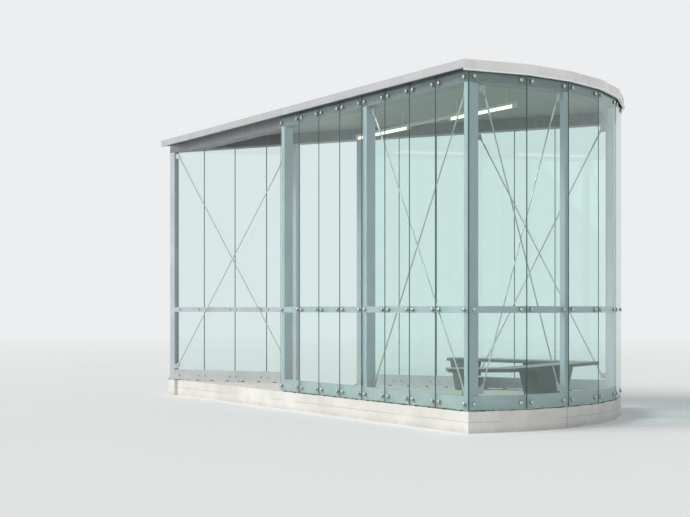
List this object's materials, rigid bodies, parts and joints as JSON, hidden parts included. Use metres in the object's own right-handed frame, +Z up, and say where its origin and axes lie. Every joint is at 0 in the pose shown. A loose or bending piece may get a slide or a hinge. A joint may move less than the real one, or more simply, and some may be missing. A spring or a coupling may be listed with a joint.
{
  "type": "bus shelter",
  "caption": "Glass bus shelter with a wedge plan, a faceted glazed nose, a steel frame with crossed tie rods, a flat roof and a bench.",
  "frame": {"origin": "on the ground under the middle of the roof", "axes": "+X from the tip post towards the faceted nose, along the line of symmetry of the plan; -Y to the street wall; +Z up"},
  "size_m": [8.079, 4.114, 4.3],
  "materials": {
    "floor_concrete": "pale worn concrete floor",
    "plinth_concrete": "cream-white cast concrete with small pits",
    "steel_frame": "light bluish-grey painted steel",
    "glass_panels": "clear float glass with a green edge",
    "fixings": "stainless spacers",
    "brace_rods": "stainless rods and forks",
    "ceiling_paint": "light grey lining",
    "roof_sheet": "grey roof covering",
    "edge_sheet": "pale mottled metal sheet",
    "light_housing": "off-white light trunking",
    "lamp_tube": "lit lamp tube",
    "bench_paint": "dark grey coated bench, paler on top"
  },
  "bodies": {
    "root": {"floor_slab": "floor_concrete", "plinth_front": "plinth_concrete", "plinth_nose": "plinth_concrete", "plinth_back": "plinth_concrete", "post_tip": "steel_frame", "post_front_left": "steel_frame", "post_front_middle": "steel_frame", "post_front_corner": "steel_frame", "post_nose_front": "steel_frame", "post_nose_back": "steel_frame", "post_back_corner": "steel_frame", "post_back_middle": "steel_frame", "post_door_right": "steel_frame", "post_door_left": "steel_frame", "top_beam_front": "steel_frame", "top_beam_nose": "steel_frame", "top_beam_back": "steel_frame", "mid_rail_front": "steel_frame", "mid_rail_nose": "steel_frame", "mid_rail_back_left": "steel_frame", "mid_rail_back_right": "steel_frame", "bottom_rail_front": "steel_frame", "bottom_rail_nose": "steel_frame", "bottom_rail_back_left": "steel_frame", "bottom_rail_back_right": "steel_frame", "glass_front": "glass_panels", "glass_nose": "glass_panels", "glass_back_left": "glass_panels", "glass_back_right": "glass_panels", "glass_spacers": "fixings", "brace_front": "brace_rods", "brace_nose_front": "brace_rods", "brace_nose_back": "brace_rods", "brace_back_left": "brace_rods", "brace_back_right": "brace_rods", "ceiling_panel": "ceiling_paint", "roof_deck": "roof_sheet", "fascia_front": "edge_sheet", "fascia_nose": "edge_sheet", "fascia_back": "edge_sheet", "light_rail": "light_housing", "light_tube_left": "lamp_tube", "light_tube_right": "lamp_tube", "bench_back": "bench_paint", "bench_nose": "bench_paint", "bench_front": "bench_paint"}
  },
  "joints": []
}
